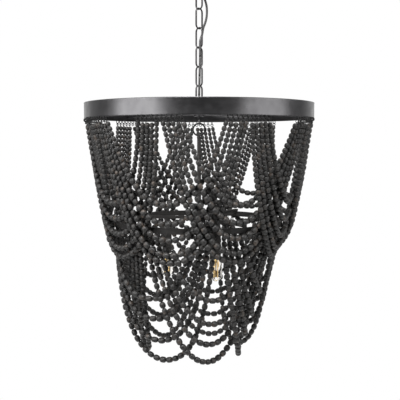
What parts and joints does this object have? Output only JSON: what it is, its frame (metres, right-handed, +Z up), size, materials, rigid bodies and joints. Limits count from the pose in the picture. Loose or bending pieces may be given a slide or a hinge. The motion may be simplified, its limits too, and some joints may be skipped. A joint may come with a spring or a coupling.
{
  "type": "beaded chandelier",
  "caption": "Ceiling chandelier on a chain: a flat metal band with two tiers of draped dark wooden bead strands around hanging lamps.",
  "frame": {"origin": "middle of the ceiling strap's top face, where the part meets the ceiling", "axes": "+Z up out of the strap into the ceiling; the object hangs down along -Z, with its front towards -Y"},
  "size_m": [0.5119, 0.5109, 0.8308],
  "materials": {
    "dark_metal": "satin",
    "chain_metal": "satin",
    "steel": "satin",
    "socket_metal": "satin",
    "bulb_glass": "gloss",
    "cable_sheath": "matte",
    "bead_wood": "satin"
  },
  "bodies": {
    "ceiling_fitting": {"ceiling_strap": "steel", "strap_screw_left": "steel", "strap_screw_right": "steel", "canopy_loop": "chain_metal", "supply_cable": "cable_sheath"},
    "canopy_cup": {"canopy": "dark_metal", "canopy_nut": "dark_metal"},
    "link_1": {"chain_link_1": "chain_metal"},
    "link_2": {"chain_link_2": "chain_metal"},
    "link_3": {"chain_link_3": "chain_metal"},
    "link_4": {"chain_link_4": "chain_metal"},
    "link_5": {"chain_link_5": "chain_metal"},
    "link_6": {"chain_link_6": "chain_metal"},
    "upper_tier": {"upper_band": "dark_metal", "upper_spider": "dark_metal", "upper_swag_1": "bead_wood", "upper_swag_2": "bead_wood", "upper_swag_3": "bead_wood", "upper_swag_4": "bead_wood", "upper_swag_5": "bead_wood", "upper_swag_6": "bead_wood", "upper_swag_7": "bead_wood", "upper_swag_8": "bead_wood", "upper_swag_9": "bead_wood"},
    "ring": {"hanging_ring": "chain_metal"},
    "lower_tier": {"stem": "dark_metal", "lower_hub": "dark_metal", "lower_ring": "dark_metal", "lower_spoke_1": "dark_metal", "socket_cup_1": "socket_metal", "lamp_socket_1": "socket_metal", "lower_spoke_2": "dark_metal", "socket_cup_2": "socket_metal", "lamp_socket_2": "socket_metal", "lower_spoke_3": "dark_metal", "socket_cup_3": "socket_metal", "lamp_socket_3": "socket_metal", "lower_swag_1": "bead_wood", "lower_swag_2": "bead_wood", "lower_swag_3": "bead_wood", "lower_swag_4": "bead_wood", "lower_swag_5": "bead_wood", "lower_swag_6": "bead_wood", "lower_swag_7": "bead_wood"},
    "lamp_1": {"bulb_1": "bulb_glass"},
    "lamp_2": {"bulb_2": "bulb_glass"},
    "lamp_3": {"bulb_3": "bulb_glass"}
  },
  "joints": [
    {"name": "link_1_swing", "type": "hinge", "parent": "ceiling_fitting", "child": "link_1", "pos_m": [0, 0, -0.0417], "axis": [0.7071, 0.7071, 0], "range_deg": [-20, 20], "deforming": ["supply_cable"]},
    {"name": "link_2_swing", "type": "hinge", "parent": "link_1", "child": "link_2", "pos_m": [0, 0, -0.0836], "axis": [0.7071, -0.7071, 0], "range_deg": [-20, 20], "deforming": ["supply_cable"]},
    {"name": "link_3_swing", "type": "hinge", "parent": "link_2", "child": "link_3", "pos_m": [0, 0, -0.1257], "axis": [0.7071, 0.7071, 0], "range_deg": [-20, 20], "deforming": ["supply_cable"]},
    {"name": "link_4_swing", "type": "hinge", "parent": "link_3", "child": "link_4", "pos_m": [0, 0, -0.1678], "axis": [0.7071, -0.7071, 0], "range_deg": [-20, 20], "deforming": ["supply_cable"]},
    {"name": "link_5_swing", "type": "hinge", "parent": "link_4", "child": "link_5", "pos_m": [0, 0, -0.2099], "axis": [0.7071, 0.7071, 0], "range_deg": [-20, 20], "deforming": ["supply_cable"]},
    {"name": "link_6_swing", "type": "hinge", "parent": "link_5", "child": "link_6", "pos_m": [0, 0, -0.252], "axis": [0.7071, -0.7071, 0], "range_deg": [-20, 20], "deforming": ["supply_cable"]},
    {"name": "upper_tier_swing", "type": "hinge", "parent": "link_6", "child": "upper_tier", "pos_m": [0, 0, -0.2941], "axis": [0.7071, 0.7071, 0], "range_deg": [-20, 20], "deforming": ["supply_cable"]},
    {"name": "canopy_drop", "type": "slide", "parent": "ceiling_fitting", "child": "canopy_cup", "axis": [0, 0, 1], "range_m": [-0.025, 0], "deforming": ["supply_cable"]},
    {"name": "ring_swing", "type": "hinge", "parent": "upper_tier", "child": "ring", "pos_m": [0, 0, -0.337], "axis": [0, 1, 0], "range_deg": [-1.1, 1.1]},
    {"name": "lower_tier_swing", "type": "hinge", "parent": "ring", "child": "lower_tier", "pos_m": [0, 0, -0.3605], "axis": [1, 0, 0], "range_deg": [-1.1, 1.1]},
    {"name": "lamp_1_out", "type": "slide", "parent": "lower_tier", "child": "lamp_1", "axis": [0, 0, 1], "range_m": [-0.024, 0]},
    {"name": "lamp_2_out", "type": "slide", "parent": "lower_tier", "child": "lamp_2", "axis": [0, 0, 1], "range_m": [-0.024, 0]},
    {"name": "lamp_3_out", "type": "slide", "parent": "lower_tier", "child": "lamp_3", "axis": [0, 0, 1], "range_m": [-0.024, 0]}
  ]
}
